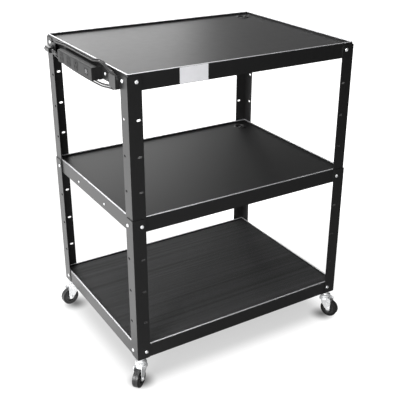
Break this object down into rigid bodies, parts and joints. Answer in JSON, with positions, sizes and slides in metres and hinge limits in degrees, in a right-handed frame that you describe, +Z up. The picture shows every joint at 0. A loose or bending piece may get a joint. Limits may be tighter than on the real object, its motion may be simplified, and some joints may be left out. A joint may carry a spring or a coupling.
{
  "type": "audio visual cart",
  "caption": "Black steel audio visual cart with tray shelves on bolted angle legs, an outlet strip with its cord wound on brackets, and swivel casters.",
  "frame": {"origin": "on the floor under the middle of the cart", "axes": "+Z up, +X to the right along the long side, front towards -Y; the outlet strip is on the left end"},
  "size_m": [0.8744, 0.6558, 1.0495],
  "materials": {
    "powder_coat": "satin powder coat",
    "zinc_plate": "bright zinc plate",
    "hub_plastic": "matte",
    "tyre_rubber": "matte",
    "grommet_plastic": "satin",
    "mat_rubber": "fine ribs",
    "strip_shell": "satin",
    "strip_face": "satin",
    "outlet_plastic": "matte",
    "port_plastic": "matte",
    "cord_jacket": "satin jacket"
  },
  "bodies": {
    "frame": {"lower_leg_front_left": "powder_coat", "lower_leg_front_right": "powder_coat", "lower_leg_back_left": "powder_coat", "lower_leg_back_right": "powder_coat", "upper_leg_front_left": "powder_coat", "upper_leg_front_right": "powder_coat", "upper_leg_back_left": "powder_coat", "upper_leg_back_right": "powder_coat", "caster_stem_front_left": "zinc_plate", "caster_stem_front_right": "zinc_plate", "caster_stem_back_left": "zinc_plate", "caster_stem_back_right": "zinc_plate", "caster_nut_front_left": "zinc_plate", "caster_nut_front_right": "zinc_plate", "caster_nut_back_left": "zinc_plate", "caster_nut_back_right": "zinc_plate", "top_shelf": "powder_coat", "middle_shelf": "powder_coat", "bottom_shelf": "powder_coat", "strip_mounting_plate": "powder_coat", "cord_bracket_front": "powder_coat", "cord_bracket_back": "powder_coat", "top_grommet": "grommet_plastic", "middle_grommet": "grommet_plastic", "ribbed_mat": "mat_rubber", "strip_base": "strip_shell", "strip_cover": "strip_face", "outlet_back": "outlet_plastic", "outlet_middle": "outlet_plastic", "outlet_front": "outlet_plastic", "charger_ports": "outlet_plastic", "charger_tongue_front": "port_plastic", "charger_tongue_back": "port_plastic", "power_cord": "cord_jacket", "strain_relief": "cord_jacket", "plug": "cord_jacket"},
    "swivel_front_left": {"caster_fork_front_left": "zinc_plate", "caster_axle_front_left": "zinc_plate"},
    "wheel_front_left": {"caster_hub_front_left": "hub_plastic", "caster_tyre_front_left": "tyre_rubber"},
    "swivel_front_right": {"caster_fork_front_right": "zinc_plate", "caster_axle_front_right": "zinc_plate"},
    "wheel_front_right": {"caster_hub_front_right": "hub_plastic", "caster_tyre_front_right": "tyre_rubber"},
    "swivel_back_left": {"caster_fork_back_left": "zinc_plate", "caster_axle_back_left": "zinc_plate"},
    "wheel_back_left": {"caster_hub_back_left": "hub_plastic", "caster_tyre_back_left": "tyre_rubber"},
    "swivel_back_right": {"caster_fork_back_right": "zinc_plate", "caster_axle_back_right": "zinc_plate"},
    "wheel_back_right": {"caster_hub_back_right": "hub_plastic", "caster_tyre_back_right": "tyre_rubber"}
  },
  "joints": [
    {"name": "caster_swivel_front_left", "type": "hinge", "parent": "frame", "child": "swivel_front_left", "pos_m": [-0.38333, -0.27735, 0.0715], "axis": [0, 0, 1], "continuous": true},
    {"name": "wheel_roll_front_left", "type": "hinge", "parent": "swivel_front_left", "child": "wheel_front_left", "pos_m": [-0.39909, -0.28966, 0.03175], "axis": [0.6157, -0.788, 0], "continuous": true},
    {"name": "caster_swivel_front_right", "type": "hinge", "parent": "frame", "child": "swivel_front_right", "pos_m": [0.38947, -0.27735, 0.0715], "axis": [0, 0, 1], "continuous": true},
    {"name": "wheel_roll_front_right", "type": "hinge", "parent": "swivel_front_right", "child": "wheel_front_right", "pos_m": [0.39761, -0.29562, 0.03175], "axis": [0.9135, 0.4067, 0], "continuous": true},
    {"name": "caster_swivel_back_left", "type": "hinge", "parent": "frame", "child": "swivel_back_left", "pos_m": [-0.38333, 0.29225, 0.0715], "axis": [0, 0, 1], "continuous": true},
    {"name": "wheel_roll_back_left", "type": "hinge", "parent": "swivel_back_left", "child": "wheel_back_left", "pos_m": [-0.40318, 0.28981, 0.03175], "axis": [0.1219, -0.9925, 0], "continuous": true},
    {"name": "caster_swivel_back_right", "type": "hinge", "parent": "frame", "child": "swivel_back_right", "pos_m": [0.38947, 0.29225, 0.0715], "axis": [0, 0, 1], "continuous": true},
    {"name": "wheel_roll_back_right", "type": "hinge", "parent": "swivel_back_right", "child": "wheel_back_right", "pos_m": [0.40624, 0.30314, 0.03175], "axis": [-0.5446, 0.8387, 0], "continuous": true}
  ]
}
